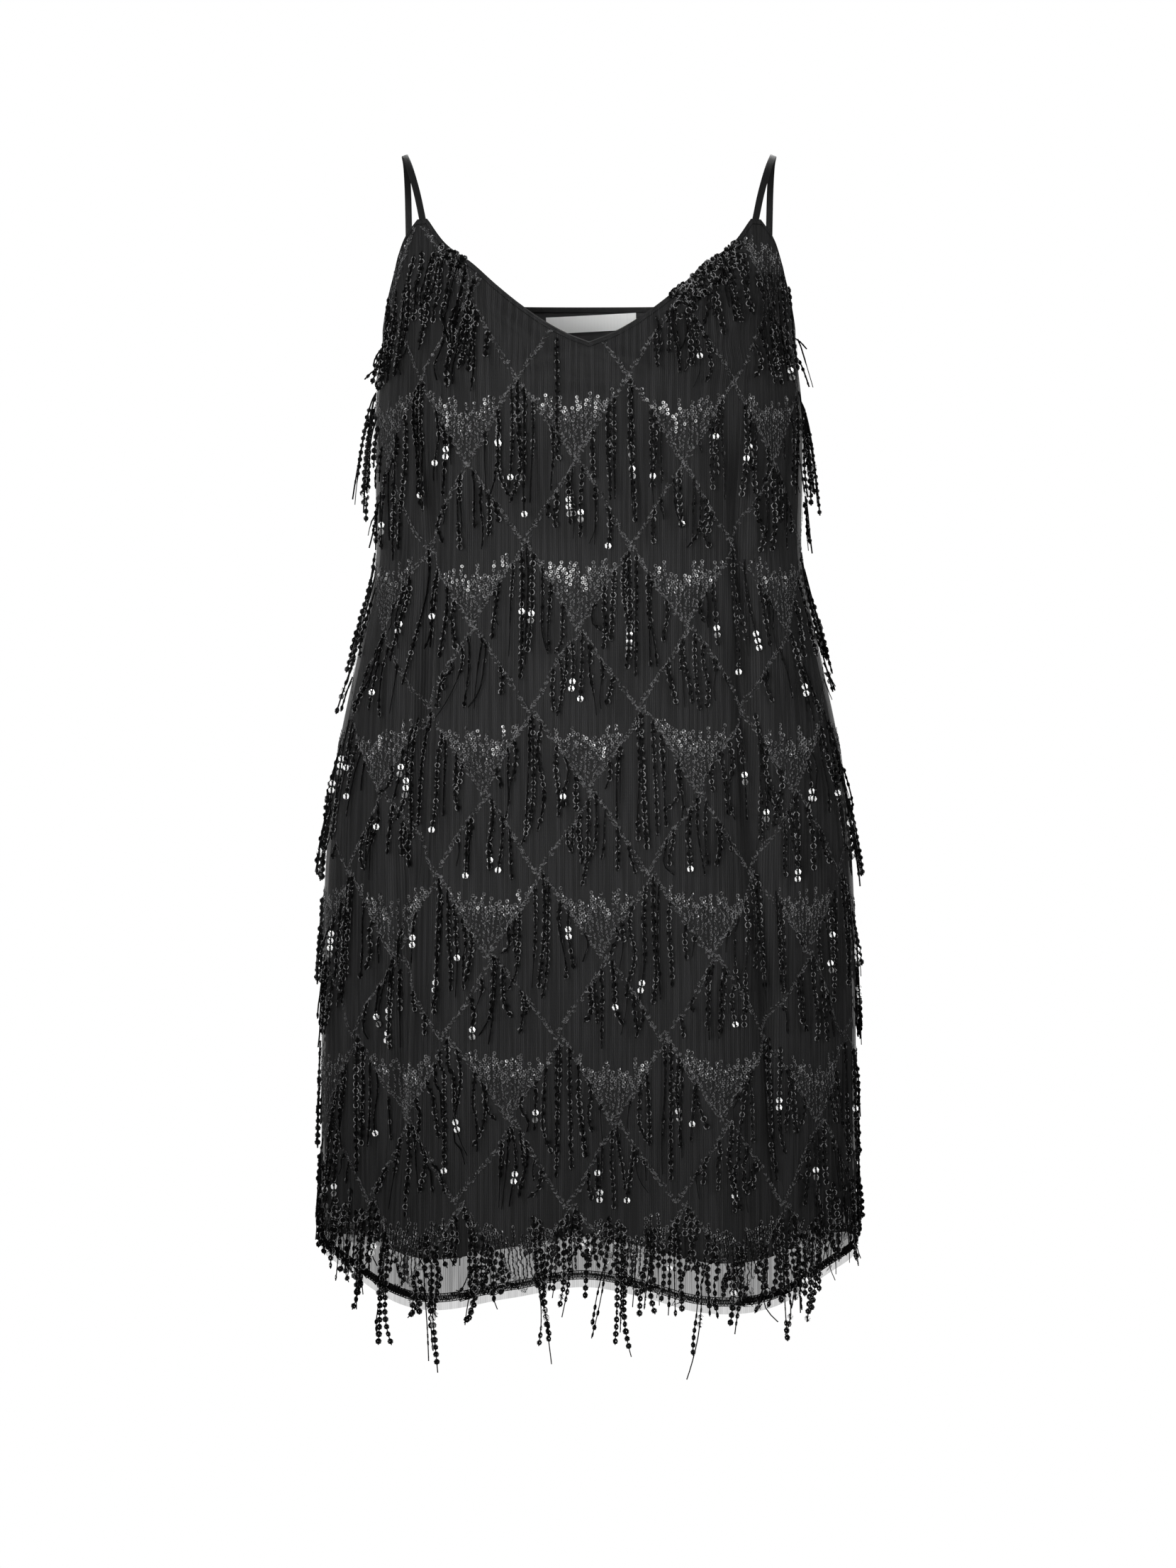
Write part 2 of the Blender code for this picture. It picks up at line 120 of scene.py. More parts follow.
lattice = {
    "half": 0.04, "legDrop": 0.06085, "firstX": -0.0516, "firstDrop": 0.1792, "drift": 0.0386,
    "driftPower": 1.6, "driftRows": 10, "lastRow": 10, "wander": 0.0021, "seamMargin": 0.005,
    "edgeMargin": 0.004, "hemMargin": 0.003, "legSteps": 34, "lines": ((-0.001, 0.5), (0.001, -0.5)),
    "stitch": 0.0015, "stitchTurn": 0.4, "stitchVaries": 0.0007, "sewn": 0.88, "rise": 0.0009,
}


def curveThrough(places, values, at):
    # a curve without kinks through the table, level beyond its ends
    places, values, at = np.asarray(places, float), np.asarray(values, float), np.asarray(at, float)
    slopes = np.gradient(values, places)
    i = np.clip(np.searchsorted(places, at) - 1, 0, len(places) - 2)
    step = places[i + 1] - places[i]
    t = np.clip((at - places[i]) / step, 0, 1)
    start = (1 + 2 * t) * (1 - t) ** 2 * values[i] + t * (1 - t) ** 2 * step * slopes[i]
    return start + t * t * (3 - 2 * t) * values[i + 1] - t * t * (1 - t) * step * slopes[i + 1]


def easeIn(share):
    share = np.clip(share, 0, 1)
    return share * share * (3 - 2 * share)


def bell(distance, width):
    return np.exp(-((distance / width) ** 2))


formGrid = {"top": 0.04, "step": 0.002, "rows": 460, "angles": 241, "columns": 160}


class ClothForm:
    # one side of the dress, sampled by drop and by share of the way from the centre line to the seam

    def __init__(self, face):
        self.face, self.name = face, "Front" if face == front else "Back"
        self.drops = formGrid["top"] + formGrid["step"] * np.arange(formGrid["rows"])
        width = curveThrough(dressForm["drop"], dressForm["halfWidth"], self.drops)
        depth = curveThrough(dressForm["drop"], dressForm["depth"][face], self.drops)
        angle = np.linspace(math.pi / 2, 0, formGrid["angles"])
        across = width[:, None] * np.cos(angle) ** dressForm["roundness"]
        deep = depth[:, None] * np.sin(angle) ** dressForm["roundness"]
        arcs = np.cumsum(np.hypot(np.diff(across, prepend=0), np.diff(deep, prepend=deep[:, :1])), axis=1)
        self.girth = arcs[:, -1]
        self.shares = np.linspace(0, 1, formGrid["columns"] + 1)
        self.x, self.y = (np.array([np.interp(self.shares * a[-1], a, row) for a, row in zip(arcs, table)])
                          for table in (across, deep))
        alongX, alongY = np.gradient(self.x, axis=1), np.gradient(self.y, axis=1)
        length = np.hypot(alongX, alongY)
        self.outX, self.outY = -alongY / length, alongX / length
        self.bearing = np.arctan2(self.x, self.y)
        self.edges = {part: ([self.shareOfX(x, drop) for x, drop in points], [drop for _, drop in points])
                      for part, points in upperEdges[face].items()}

    def rowOf(self, drop):
        row = (np.asarray(drop, float) - formGrid["top"]) / formGrid["step"]
        return np.clip(row, 0, len(self.drops) - 1.001)

    def read(self, share, drop, *tables):
        # the tables' values at a share and a drop
        columns = formGrid["columns"]
        row, column = self.rowOf(drop), np.clip(abs(share) * columns, 0, columns - 0.001)
        i, j = row.astype(int), column.astype(int)
        r, c = row - i, column - j
        for table in tables:
            upper = table[i, j] * (1 - c) + table[i, j + 1] * c
            lower = table[i + 1, j] * (1 - c) + table[i + 1, j + 1] * c
            yield upper * (1 - r) + lower * r

    def mirrored(self, share, x, y, z):
        return np.stack([np.where(share < 0, -x, x), self.face * y, z], axis=-1)

    def girthAt(self, drop):
        return np.interp(drop, self.drops, self.girth)

    def shareOfX(self, x, drop):
        row = int(round(float(self.rowOf(drop))))
        return math.copysign(float(np.interp(abs(x), self.x[row], self.shares)), x)

    def lift(self, arc, drop):
        # how far the folds, creases and swags stand out
        total = np.zeros_like(arc)
        for top, arcTop, arcHem, height, width in broadFolds[self.face]:
            share = np.clip((drop - top) / (dressForm["drop"][-1] - top), 0, 1)
            total += height * easeIn(share) * bell(arc - arcTop - (arcHem - arcTop) * share, width)
        for top, end, arcTop, arcEnd, height, width in fineCreases[self.face]:
            share = (drop - top) / (end - top)
            hold = easeIn(share / dressForm["creaseStart"]) * easeIn((1 - share) / dressForm["creaseEnd"])
            total += height * hold * bell(arc - arcTop - (arcEnd - arcTop) * share, width)
        for middle, dropMiddle, slant, height, width, reach in chestSwags[self.face]:
            away = arc - middle
            total += height * bell(drop - dropMiddle - slant * away, width) * bell(away, reach)
        return total

    def at(self, share, drop, out=0.0):
        share, drop = np.broadcast_arrays(np.asarray(share, float), np.asarray(drop, float))
        x, y, outX, outY = self.read(share, drop, self.x, self.y, self.outX, self.outY)
        lift = self.lift(share * self.girthAt(drop), drop) + out
        return self.mirrored(share, x + outX * lift, y + outY * lift + dressForm["seamGap"] / 2, -drop)

    def outward(self, share, drop):
        share, drop = np.broadcast_arrays(np.asarray(share, float), np.asarray(drop, float))
        x, y = self.read(share, drop, self.outX, self.outY)
        return self.mirrored(share, x, y, np.zeros_like(x))

    def edgeDrop(self, share):
        share = abs(np.asarray(share, float))
        neck, arm = self.edges["neck"], self.edges["arm"]
        return np.where(share <= neck[0][-1], curveThrough(*neck, share), curveThrough(*arm, share))

    def hemDrop(self, share):
        arcs, drops = zip(*hemLines[self.face])
        return curveThrough(arcs, drops, np.asarray(share, float) * arcs[-1])

    def towards(self, x, y, drop):
        # the share whose bearing from the middle is that of x, y
        row = int(round(float(self.rowOf(drop))))
        share = np.interp(math.atan2(abs(x), abs(y)), self.bearing[row], self.shares)
        return math.copysign(float(share), x)


forms = {front: ClothForm(front), back: ClothForm(back)}

socketNames = {"specular": "Specular IOR Level", "sheen": "Sheen Weight", "sheenRough": "Sheen Roughness",
               "coat": "Coat Weight", "coatRough": "Coat Roughness", "metal": "Metallic"}


def newMaterial(name, roughness, **settings):
    made = bpy.data.materials.new(name)
    made.use_nodes = True
    shader = made.node_tree.nodes["Principled BSDF"]
    shader.inputs["Roughness"].default_value = roughness
    for socket, value in settings.items():
        shader.inputs[socketNames[socket]].default_value = value
    return made, made.node_tree, shader


def addNode(tree, kind, source=None, **inputs):
    # a node with its inputs set, and its first input joined to a source
    node = tree.nodes.new(kind)
    for name, value in inputs.items():
        node.inputs[name.replace("_", " ")].default_value = value
    if source is not None:
        tree.links.new(source, node.inputs[0])
    return node


def blendColours(tree, factor, dark, light):
    mix = tree.nodes.new("ShaderNodeMix")
    mix.data_type = "RGBA"
    for socket, colour in ((6, dark), (7, light)):
        if isinstance(colour, tuple):
            mix.inputs[socket].default_value = (*colour, 1)
        else:
            tree.links.new(colour, mix.inputs[socket])
    tree.links.new(factor, mix.inputs[0])
    return mix.outputs[2]


def grey(value, blue=None):
    return value, value, value if blue is None else blue


def maths(tree, operation, *values):
    node = tree.nodes.new("ShaderNodeMath")
    node.operation = operation
    for socket, value in zip(node.inputs, values):
        if isinstance(value, (int, float)):
            socket.default_value = value
        else:
            tree.links.new(value, socket)
    return node.outputs[0]


threadLook = {"streaks": 0.5, "down": 0.3, "stretch": (1.0, 0.035, 1.0)}


def makeThreadGroup():
    # fine threads both ways over UVs in metres: a mask of the ribs with long uneven streaks, and a height
    group = bpy.data.node_groups.new("threads", "ShaderNodeTree")
    for name in ("across per metre", "down per metre", "wander"):
        group.interface.new_socket(name=name, in_out="INPUT", socket_type="NodeSocketFloat")
    for name in ("ribs", "height"):
        group.interface.new_socket(name=name, in_out="OUTPUT", socket_type="NodeSocketFloat")
    inward, outward = group.nodes.new("NodeGroupInput"), group.nodes.new("NodeGroupOutput")
    place = group.nodes.new("ShaderNodeUVMap")
    place.uv_map = "UVMap"
    noise = addNode(group, "ShaderNodeTexNoise", place.outputs[0], Scale=140.0, Detail=3.0)
    split = addNode(group, "ShaderNodeSeparateXYZ", place.outputs[0])
    shift = maths(group, "MULTIPLY", noise.outputs[0], inward.outputs[2])
    waves = []
    for axis, rate in zip(split.outputs[:2], inward.outputs[:2]):
        turns = maths(group, "ADD", maths(group, "MULTIPLY", axis, rate), shift)
        wave = maths(group, "SINE", maths(group, "MULTIPLY", turns, 2 * math.pi))
        waves.append(maths(group, "ADD", maths(group, "MULTIPLY", wave, 0.5), 0.5))
    stretch = addNode(group, "ShaderNodeMapping", place.outputs[0], Scale=threadLook["stretch"])
    streaks = addNode(group, "ShaderNodeTexNoise", stretch.outputs[0], Scale=380.0, Detail=2.0)
    noise.noise_dimensions = streaks.noise_dimensions = "2D"
    spread = addNode(group, "ShaderNodeMapRange", streaks.outputs[0], From_Min=0.38, From_Max=0.62)
    mixes = ((spread.outputs[0], threadLook["streaks"]), (waves[1], threadLook["down"]))
    for (other, share), socket in zip(mixes, outward.inputs):
        mixed = [maths(group, "MULTIPLY", *pair) for pair in ((waves[0], 1 - share), (other, share))]
        group.links.new(maths(group, "ADD", *mixed), socket)
    return group


threadGroup = makeThreadGroup()


def addThreads(tree, shader, across, down, wander, strength, distance):
    threads = tree.nodes.new("ShaderNodeGroup")
    threads.node_tree = threadGroup
    for socket, value in zip(threads.inputs, (across, down, wander)):
        socket.default_value = value
    addBump(tree, shader, threads.outputs[1], strength, distance)
    return threads


def addBump(tree, shader, height, strength, distance):
    bump = addNode(tree, "ShaderNodeBump", Strength=strength, Distance=distance)
    tree.links.new(height, bump.inputs["Height"])
    tree.links.new(bump.outputs[0], shader.inputs["Normal"])


def readMark(tree, name, low, high):
    # how far a mark on the mesh is from low to high
    mark = tree.nodes.new("ShaderNodeAttribute")
    mark.attribute_name = name
    return addNode(tree, "ShaderNodeMapRange", mark.outputs["Fac"], From_Min=low, From_Max=high).outputs[0]


meshLook = {"raw": (0.3, 0.48), "sewn": (0.62, 0.84), "stitchLine": (0.0062, 0.0072)}


def makeMeshCloth():
    # sheer ribbed mesh: see-through between ribs that run down the cloth, and thinner past the hem's stitches
    made, tree, shader = newMaterial("ribbed mesh", 0.75, sheen=0.06, sheenRough=0.4, specular=0.12)
    threads = addThreads(tree, shader, across=640.0, down=1100.0, wander=0.35, strength=0.6, distance=0.0005)
    colour = blendColours(tree, threads.outputs[0], grey(0.0095), grey(0.03, 0.0307))
    tree.links.new(colour, shader.inputs["Base Color"])
    mix = tree.nodes.new("ShaderNodeMix")
    tree.links.new(readMark(tree, "toHem", *meshLook["stitchLine"]), mix.inputs[0])
    for socket, part in ((2, "raw"), (3, "sewn")):
        low, high = meshLook[part]
        cover = addNode(tree, "ShaderNodeMapRange", threads.outputs[0], To_Min=low, To_Max=high)
        tree.links.new(cover.outputs[0], mix.inputs[socket])
    tree.links.new(mix.outputs[0], shader.inputs["Alpha"])
    return made


def makePlainCloth(name, roughness, sheen, across, down, dark, light):
    made, tree, shader = newMaterial(name, roughness, sheen=sheen, specular=0.25)
    threads = addThreads(tree, shader, across, down, wander=0.2, strength=0.3, distance=0.0002)
    tree.links.new(blendColours(tree, threads.outputs[1], dark, light), shader.inputs["Base Color"])
    return made


def makeSpeckled(name, dark, light, roughness, scale, rim=None, **settings):
    # a finish that varies from piece to piece and along each thread; a rim colour paints highlights in flecks
    # on the edges of sequins
    made, tree, shader = newMaterial(name, roughness, **settings)
    place = tree.nodes.new("ShaderNodeTexCoord").outputs["Object"]
    noise = addNode(tree, "ShaderNodeTexNoise", place, Scale=scale, Detail=2.0)
    spread = addNode(tree, "ShaderNodeMapRange", noise.outputs[0], From_Min=0.38, From_Max=0.62)
    colour = blendColours(tree, spread.outputs[0], dark, light)
    if rim:
        # painted highlight: flecks of the rim colour stand for light caught on the glossy edges of sequins
        highlightFlecks = addNode(tree, "ShaderNodeTexNoise", place, Scale=260.0, Detail=1.0)
        lit = addNode(tree, "ShaderNodeMapRange", highlightFlecks.outputs[0], From_Min=0.47, From_Max=0.57)
        edge = maths(tree, "MULTIPLY", readMark(tree, "rim", 0.62, 0.95), lit.outputs[0])
        colour = blendColours(tree, edge, colour, rim)
    tree.links.new(colour, shader.inputs["Base Color"])
    addBump(tree, shader, noise.outputs[0], 0.3, 0.0002)
    return made


meshCloth = makeMeshCloth()
liningCloth = makePlainCloth("satin lining", 0.45, 0.04, 2600.0, 1500.0, grey(0.0125, 0.0128),
                             grey(0.0255, 0.0262))
strapCloth = makePlainCloth("satin strap", 0.6, 0.02, 2000.0, 1200.0, grey(0.0025), grey(0.0075, 0.0078))
labelCloth = makePlainCloth("woven label", 0.7, 0.1, 1400.0, 2200.0, grey(0.88, 0.87), grey(0.97, 0.96))
threadFinish = makeSpeckled("black thread", grey(0.0015), grey(0.005, 0.0052), 0.6, 1800.0, specular=0.06)
stitchFinish = makeSpeckled("stitch thread", grey(0.0015), grey(0.15, 0.153), 0.4, 620.0, specular=0.2)
# black sequins; their rim colour is a painted highlight on the edges
sequinFinish = makeSpeckled("black sequin", grey(0.001), grey(0.004), 0.24, 900.0, grey(0.27, 0.274),
                            specular=0.08)
# painted highlight: black sequins beside a glint, greyed to stand for light they partly catch, with a painted
# highlight on their rims
halfLitFinish = makeSpeckled("half-lit sequin", grey(0.01), grey(0.22), 0.25, 380.0, grey(0.38), specular=0.3)
# small black sequins; their rim colour is a painted highlight on the edges
ringFinish = makeSpeckled("small sequin", grey(0.003), grey(0.085, 0.087), 0.25, 420.0, grey(0.34, 0.345),
                          coat=0.2, coatRough=0.1)
# painted highlight: black sequins coloured near white to stand for the studio light they glint with
paintedGlintFinish = makeSpeckled("painted glint sequin", grey(0.8), grey(0.95), 0.3, 700.0, metal=0.15, coat=0.5)
# painted highlight: small black sequins coloured pale to stand for light they catch
litRingFinish = makeSpeckled("lit small sequin", grey(0.22), grey(0.6), 0.3, 420.0, metal=0.15, coat=0.3)
print("materials made")


pieceFaces = {}


def quadObject(name, points, quads, finishes, slots=None, uvs=None, marks=None, smooth=True):
    mesh = bpy.data.meshes.new(name)
    mesh.from_pydata(np.reshape(points, (-1, 3)).tolist(), [], quads.tolist())
    for finish in finishes:
        mesh.materials.append(finish)
    if slots is not None:
        mesh.polygons.foreach_set("material_index", np.asarray(slots, np.int32))
    if uvs is not None:
        places = np.stack(np.broadcast_arrays(*uvs), axis=-1).reshape(-1, 2).astype(np.float32)
        mesh.uv_layers.new(name="UVMap").data.foreach_set("uv", places[quads.ravel()].ravel())
    for mark, values in dict(marks or {}).items():
        made = mesh.attributes.new(mark, "FLOAT", "POINT")
        made.data.foreach_set("value", np.asarray(values, np.float32).ravel())
    mesh.polygons.foreach_set("use_smooth", [smooth] * len(quads))
    made = bpy.data.objects.new(name, mesh)
    bpy.context.scene.collection.objects.link(made)
    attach(made, "root")
    pieceFaces[name] = 2 * len(quads)
    return made


def gridQuads(rows, columns, start=0, around=False, flip=False):
    # quads of a grid of rows x columns points; around joins its last column to its first
    i, j = np.meshgrid(np.arange(rows - 1), np.arange(columns if around else columns - 1), indexing="ij")
    k = (j + 1) % columns
    corners = [i * columns + j, (i + 1) * columns + j, (i + 1) * columns + k, i * columns + k]
    if flip:
        corners.reverse()
    return np.stack(corners, axis=-1).reshape(-1, 4) + start


def columnShares(form, neckColumns, armColumns):
    neck, arm = form.edges["neck"][0], form.edges["arm"][0]
    half = np.concatenate([np.linspace(0, neck[-1], neckColumns), np.linspace(arm[0], 1, armColumns)])
    return np.concatenate([-half[:0:-1], half])


# the two layers; columns are those from the centre line to the strap and from there to the side
overlay = {"name": "overlay", "node": "outer_", "slot": "overlay_mesh", "seam": "sideSeam",
           "cloth": meshCloth, "columns": (56, 36), "rows": 210, "rise": 0, "flat": (0.56, 0.83),
           "inset": 0, "sideInset": 0}
lining = {"name": "lining", "node": "lining_", "slot": "lining", "seam": "liningSeam",
          "cloth": liningCloth, "columns": (36, 24), "rows": 190, "rise": 0.037, "flat": (0.56, 0.8),
          "inset": 0.0016, "sideInset": 0.0016}
sideSeam = {"insetFrom": 0.6, "halfWidth": 0.0022, "girthDrop": 0.5, "rows": 160, "out": 0.0005}


def insetOf(sizes, shares):
    # a layer lies further in towards the side seams
    side = np.clip((abs(shares) - sideSeam["insetFrom"]) / (1 - sideSeam["insetFrom"]), 0, 1)
    return -sizes["inset"] / 2 - sizes["sideInset"] * side ** 2


def makePanel(form, sizes):
    shares = columnShares(form, *sizes["columns"])
    top, hem = form.edgeDrop(shares), form.hemDrop(shares) - sizes["rise"]
    down = np.linspace(0, 1, sizes["rows"])[:, None]
    drops = top + (hem - top) * down
    points = form.at(shares, drops, insetOf(sizes, shares) * easeIn(down * 6) + insetOf(sizes, 0))
    quads = gridQuads(sizes["rows"], len(shares), flip=form.face == back)
    made = quadObject(sizes["name"] + form.name, points, quads, [sizes["cloth"]],
                      uvs=(shares * form.girthAt(drops), -drops), marks={"toHem": hem - drops})
    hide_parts(sizes["node"] + form.name.lower())


def makeSideSeam(side, sideName, sizes):
    # a narrow strip that joins front and back down the side
    rows = []
    for face, form in forms.items():
        near = 1 - sideSeam["halfWidth"] / form.girthAt(sideSeam["girthDrop"])
        hem = form.hemDrop(1.0) - sizes["rise"]
        drops = np.linspace(form.edgeDrop(1.0), hem, sideSeam["rows"])
        pair = [form.at(side * share, drops, sideSeam["out"] + insetOf(sizes, 1)) for share in (near, 1.0)]
        rows += pair if face == front else pair[::-1]
    across = np.arange(len(rows)) * sideSeam["halfWidth"] / 2
    quads = gridQuads(len(drops), len(rows), flip=side < 0)
    made = quadObject(sizes["seam"] + sideName, np.stack(rows, axis=1), quads, [sizes["cloth"]],
                      uvs=(across, -drops[:, None]), marks={"toHem": np.repeat(hem - drops, len(rows))})


for form in forms.values():
    for sizes in (overlay, lining):
        makePanel(form, sizes)
print("overlay and lining hung")
sideNames = {-1: "Left", 1: "Right"}
for side, name in sideNames.items():
    for sizes in (overlay, lining):
        makeSideSeam(side, name, sizes)
print("side seams joined")


def unit(vectors):
    return vectors / np.maximum(np.linalg.norm(vectors, axis=-1, keepdims=True), 1e-12)


def gausses(spread, count):
    return np.array([draw.gauss(0, spread) for _ in range(count)])


def uniforms(low, high, count):
    return np.array([draw.uniform(low, high) for _ in range(count)])


def turned(along, out, turns):
    # directions along the cloth, each turned in its plane
    return unit(along * np.cos(turns)[:, None] + np.cross(out, along) * np.sin(turns)[:, None])


class Heap:
    # many small shapes joined in one mesh

    def __init__(self):
        self.points, self.quads, self.slots, self.rims, self.count = [], [], [], [], 0

    def add(self, points, quads, slot, rims=None):
        self.points.append(points)
        self.quads.append(quads + self.count)
        self.slots.append(np.full(len(quads), slot))
        self.rims.append(np.zeros(len(points)) if rims is None else rims)
        self.count += len(points)

    def tube(self, path, outward, radius, slot, sides=3):
        # a thin tube along a path
        along = unit(np.gradient(path, axis=0))
        across = unit(np.cross(along, outward))
        up = np.cross(across, along)
        angles = np.arange(sides) * 2 * math.pi / sides
        ring = across[:, None] * np.cos(angles)[:, None] + up[:, None] * np.sin(angles)[:, None]
        points = path[:, None] + ring * np.reshape(radius, (-1, 1, 1))
        self.add(points.reshape(-1, 3), gridQuads(len(path), sides, around=True), slot)

    def sew(self, form, share, drop, rise, radius, slot=0, sides=3):
        # a thread that lies on the cloth
        self.tube(form.at(share, drop, rise), form.outward(share, drop), radius, slot, sides)

    def stamp(self, shape, places, along, outward, size, slot):
        # copies of one small shape, its y along the thread and its z facing out
        outward = unit(outward - along * (outward * along).sum(axis=-1, keepdims=True))
        across = np.cross(along, outward)
        turn = np.stack([across, along, outward], axis=-1)
        points = np.einsum("kij,nj->kni", turn, shape["points"]) * np.reshape(size, (-1, 1, 1))
        points += places[:, None]
        count = len(shape["points"])
        quads = shape["quads"] + count * np.arange(len(places))[:, None, None]
        self.add(points.reshape(-1, 3), quads.reshape(-1, 4), slot, np.tile(shape["rims"], len(places)))

    def finish(self, name, finishes, node=None, slotName="fringe"):
        made = quadObject(name, np.concatenate(self.points), np.concatenate(self.quads), finishes,
                          np.concatenate(self.slots), marks={"rim": np.concatenate(self.rims)}, smooth=False)
        if node:
            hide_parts(node)


def ringShape(sides, hole, cup, squash=1.0):
    # a small flat ring: a disc, inset and opened, with its middle pushed in
    bpy.ops.object.select_all(action="DESELECT")
    bpy.ops.mesh.primitive_circle_add(vertices=sides, radius=1, fill_type="NGON")
    ring = bpy.context.object
    bpy.ops.object.mode_set(mode="EDIT")
    bpy.ops.mesh.select_all(action="SELECT")
    bpy.ops.mesh.inset(thickness=(1 - hole) * math.cos(math.pi / sides))
    bpy.ops.transform.translate(value=(0, 0, -cup))
    bpy.ops.mesh.delete(type="ONLY_FACE")
    bpy.ops.object.mode_set(mode="OBJECT")
    points = np.array([v.co[:] for v in ring.data.vertices]) * (squash, 1, 1)
    quads = np.array([list(face.vertices) for face in ring.data.polygons])
    bpy.data.objects.remove(ring)
    rims = np.clip((np.hypot(points[:, 0] / squash, points[:, 1]) - hole) / (1 - hole), 0, 1)
    return {"points": points, "quads": quads, "rims": rims}


sequinShape = ringShape(7, 0.2, 0.16)
linkShape = ringShape(4, 0.5, 0.1, 0.5)
smallRing = ringShape(6, 0.42, 0.18)


def rowApexes(form, row):
    # distances round the cloth of the row's apexes, out past both seams, and their drop
    top = lattice["firstDrop"] + row * lattice["legDrop"]
    past = max(row + 0.5, 0) / lattice["driftRows"]
    first = lattice["firstX"] + lattice["drift"] * past ** lattice["driftPower"]
    first += (row % 2) * lattice["half"]
    limit, width = form.girthAt(top + lattice["legDrop"] / 2), 2 * lattice["half"]
    low, high = math.floor((-limit - first) / width), math.ceil((limit - first) / width)
    return [first + width * i for i in range(low, high + 1)], top


def wandered(arc, drop):
    # the lattice sits a little unevenly on the cloth
    grow = lattice["wander"] * (0.4 + 0.9 * np.clip(drop, 0.1, 0.9))
    return (arc + grow * (np.sin(drop * 31 + arc * 17) + 0.6 * np.sin(drop * 73 - arc * 41 + 1.3)),
            drop + grow * (np.sin(arc * 37 + drop * 19 + 0.7) + 0.5 * np.sin(arc * 83 - drop * 47)))


def onCloth(form, arc, drop, hemMargin):
    # the share of places on the cloth, and whether they are clear of its edges
    girth = form.girthAt(drop)
    share = np.clip(arc / girth, -1, 1)
    inside = (drop > form.edgeDrop(share) + lattice["edgeMargin"]) & (drop < form.hemDrop(share) - hemMargin)
    return share, inside & (abs(arc) < girth - lattice["seamMargin"])


def legPoint(form, apex, top, dx):
    # share and drop on a leg of the lattice, dx from its apex, and whether it is on the cloth
    drop = top + abs(dx) / lattice["half"] * lattice["legDrop"]
    arc, drop = wandered(apex + dx, drop)
    share, inside = onCloth(form, arc, drop, lattice["hemMargin"])
    return share, drop, inside


# long, short and top are a row's (roots, spread, end, rise); past outSide's share, strands stand out more above
# its first drop and less below its second, each with how many times
strand = {
    "pitch": 0.0053, "sequin": 0.00245, "thread": 0.00038, "core": 0.00068, "coreHem": 0.0005,
    "long": (9, 0.0265, 0.096, 0.024), "short": (8, 0.0225, 0.063, 0.01), "top": (11, 0.032, 0.085, 0.014),
    "shortest": 0.012, "rootVaries": 0.0026, "endVaries": 0.013, "out": 0.0016, "outEnd": (0.002, 0.007),
    "outSide": (0.82, 0.22, 2.4, 0.6, 0.4), "lean": 0.0016, "leanGrows": 0.002, "wave": 0.0013,
    "bareTail": 0.14, "tailSwing": 0.35,
    "heavyAbove": 0.125, "heavyBelow": 0.8, "hooked": 0.16, "hookedSide": (0.8, 2.5),
    "hook": (0.003, 0.009), "hookFrom": 0.6, "glintBelow": 0.13, "glintsTop": 0.36, "glintsHem": 0.1,
    "glintRuns": (1, 1, 1, 1, 1, 2, 2, 3), "slash": 0.0021,
}
# clumps at the front's neckline as (first x, last x, drop, end drop, strands)
neckFringe = {
    "clumps": ((-0.129, -0.084, 0.078, 0.148, 11), (-0.15, -0.134, 0.105, 0.178, 4),
               (0.068, 0.114, 0.078, 0.14, 11), (0.124, 0.148, 0.096, 0.172, 6),
               (-0.098, -0.082, 0.122, 0.176, 5), (0.05, 0.072, 0.124, 0.17, 5)),
    "varies": 0.011, "bare": 0.03,
    "middle": {"x": -0.024, "drop": 0.15, "end": 0.222},
    # sequins heaped on the edge as (first x, last x, sequins, reach)
    "heaps": ((0.058, 0.112, 130, 0.022), (-0.112, -0.09, 26, 0.012)),
}
hemFringe = {
    "clumps": (-0.86, -0.55, -0.24, 0.1, 0.4, 0.72), "clumpWidth": 0.0026,
    "reaches": (-0.024, -0.016, -0.01, -0.004, 0.001, 0.006), "varies": 0.005, "lean": 0.003,
    "sideFrom": 0.185, "sideStep": 0.0052,
    # those that hang below the hem: (x, reach, strands, bare end)
    "below": ((-0.17, 0.022, 3, 0), (-0.15, 0.037, 3, 0), (-0.119, 0.042, 3, 0.01), (-0.084, 0.016, 3, 0),
              (-0.066, 0.002, 2, 0), (-0.039, 0.043, 3, 0.02), (-0.014, 0.018, 2, 0.014), (0, 0.008, 1, 0),
              (0.014, 0.038, 2, 0), (0.023, 0.042, 3, 0.01), (0.045, 0.013, 3, 0), (0.081, 0.033, 2, 0.042),
              (0.109, 0.01, 3, 0.008), (0.127, 0.004, 2, 0.016), (0.145, 0.031, 2, 0),
              (0.155, 0.006, 1, 0.014), (0.168, 0.028, 2, 0)),
    "from": (0.04, 0.06),
}


